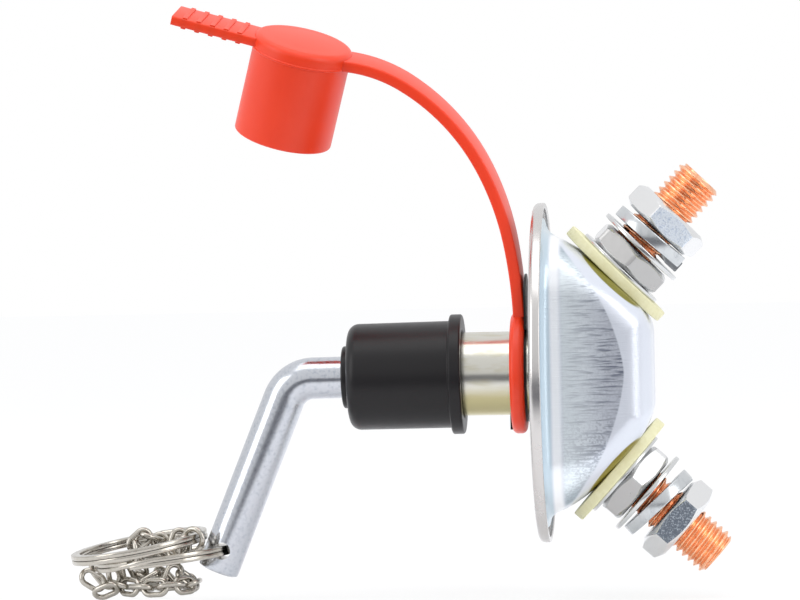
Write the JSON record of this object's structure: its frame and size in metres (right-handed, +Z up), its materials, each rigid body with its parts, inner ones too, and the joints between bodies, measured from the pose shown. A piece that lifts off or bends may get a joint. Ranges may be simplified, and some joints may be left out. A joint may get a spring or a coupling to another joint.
{
  "type": "battery cut-off switch",
  "caption": "Key-operated battery isolator: round screw flange, pressed housing with angled copper studs, bent removable key with split rings and chain, and a tethered dust cap.",
  "frame": {"origin": "midway between the two screw holes, in the middle of the flange sheet on the key axis", "axes": "+X along the key axis towards the studs behind the panel, +Z up towards the upper stud, +Y to the right seen from the key's side"},
  "size_m": [0.1353, 0.069, 0.1186],
  "materials": {
    "zinc_sheet": "bright zinc plate, satin",
    "zinc_turned": "bright zinc plate",
    "copper": "bright copper",
    "red_plastic": "soft moulded plastic, satin",
    "black_rubber": "moulded rubber, matte",
    "nickel_wire": "nickel plate",
    "spring_steel": "zinc plated spring steel",
    "fibre_board": "pale vulcanised fibre",
    "moulded_insulation": "dark moulded resin"
  },
  "bodies": {
    "housing": {"mount_flange": "zinc_sheet", "rear_housing": "zinc_sheet", "key_hub": "zinc_turned", "return_spring": "spring_steel", "spring_insulator": "moulded_insulation", "terminal_stud_upper": "copper", "stud_bush_upper": "moulded_insulation", "fibre_washer_upper": "fibre_board", "plain_washer_upper": "zinc_sheet", "jam_nut_upper": "zinc_turned", "thin_washer_upper": "zinc_sheet", "spring_washer_upper": "spring_steel", "terminal_nut_upper": "zinc_turned", "terminal_stud_lower": "copper", "stud_bush_lower": "moulded_insulation", "fibre_washer_lower": "fibre_board", "plain_washer_lower": "zinc_sheet", "jam_nut_lower": "zinc_turned", "thin_washer_lower": "zinc_sheet", "spring_washer_lower": "spring_steel", "terminal_nut_lower": "zinc_turned"},
    "boot": {"key_boot": "black_rubber"},
    "key": {"key_rod": "zinc_turned", "cross_pin": "spring_steel"},
    "contact": {"cam_follower": "moulded_insulation", "contact_bridge": "copper", "spring_seat": "zinc_sheet"},
    "ring": {"key_ring": "nickel_wire", "key_chain": "nickel_wire", "free_ring": "nickel_wire"},
    "cap": {"tether_cap": "red_plastic", "ring_liner": "black_rubber"}
  },
  "joints": [
    {"name": "key_draw", "type": "slide", "parent": "housing", "child": "boot", "axis": [-1, 0, 0], "range_m": [0, 0.03]},
    {"name": "key_turn", "type": "hinge", "parent": "boot", "child": "key", "pos_m": [0, 0, 0], "axis": [1, 0, 0], "range_deg": [0, 90]},
    {"name": "contact_press", "type": "slide", "parent": "housing", "child": "contact", "axis": [1, 0, 0], "range_m": [0, 0.003], "deforming": ["return_spring"]},
    {"name": "ring_swing", "type": "hinge", "parent": "key", "child": "ring", "pos_m": [-0.06489, 0, -0.03461], "axis": [0, -1, 0], "range_deg": [-6, 22]},
    {"name": "cap_swivel", "type": "hinge", "parent": "housing", "child": "cap", "pos_m": [0, 0, 0], "axis": [1, 0, 0], "continuous": true}
  ],
  "couplings": [
    {"joint": "contact_press", "follows": "key_turn", "m_per_rad": 0.0019099}
  ]
}
